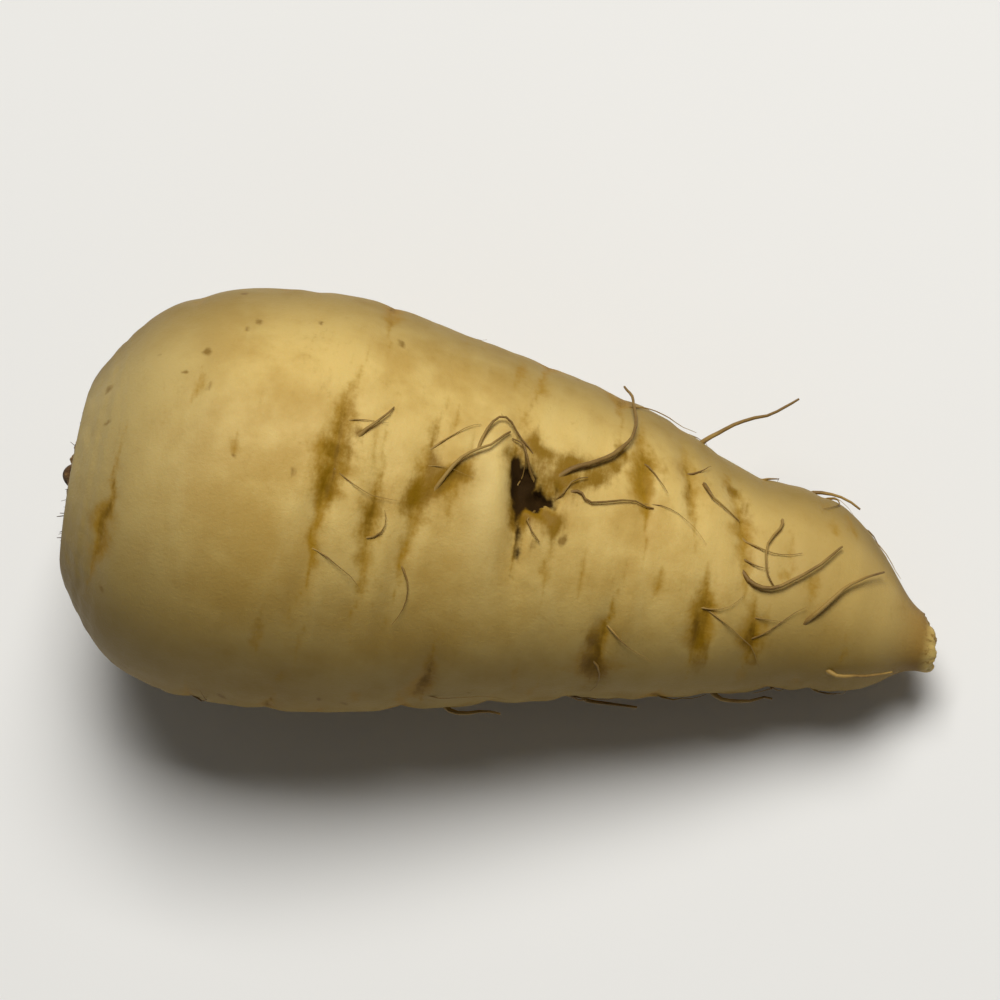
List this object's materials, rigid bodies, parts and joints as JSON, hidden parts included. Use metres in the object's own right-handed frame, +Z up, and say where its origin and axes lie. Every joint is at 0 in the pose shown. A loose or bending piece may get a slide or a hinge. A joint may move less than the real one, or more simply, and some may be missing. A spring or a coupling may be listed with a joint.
{
  "type": "parsnip",
  "caption": "Short, stout parsnip root lying on its side, with trimmed leaf-stalk bases at the crown, cross creases, side rootlets and a snapped tail.",
  "frame": {"origin": "on the surface that the root lies on, under the middle of its box", "axes": "+X from the crown to the tail, +Z up, +Y to the root's left side seen from the crown"},
  "size_m": [0.074, 0.0358, 0.037],
  "materials": {
    "skin": "thin moist skin, cream to ochre, brown in the creases, satin",
    "stalk_bases": "dry fibrous leaf-stalk bases, dark brown with paler cut ends, matte"
  },
  "bodies": {
    "root": {"root": "skin", "crown": "stalk_bases"}
  },
  "joints": []
}
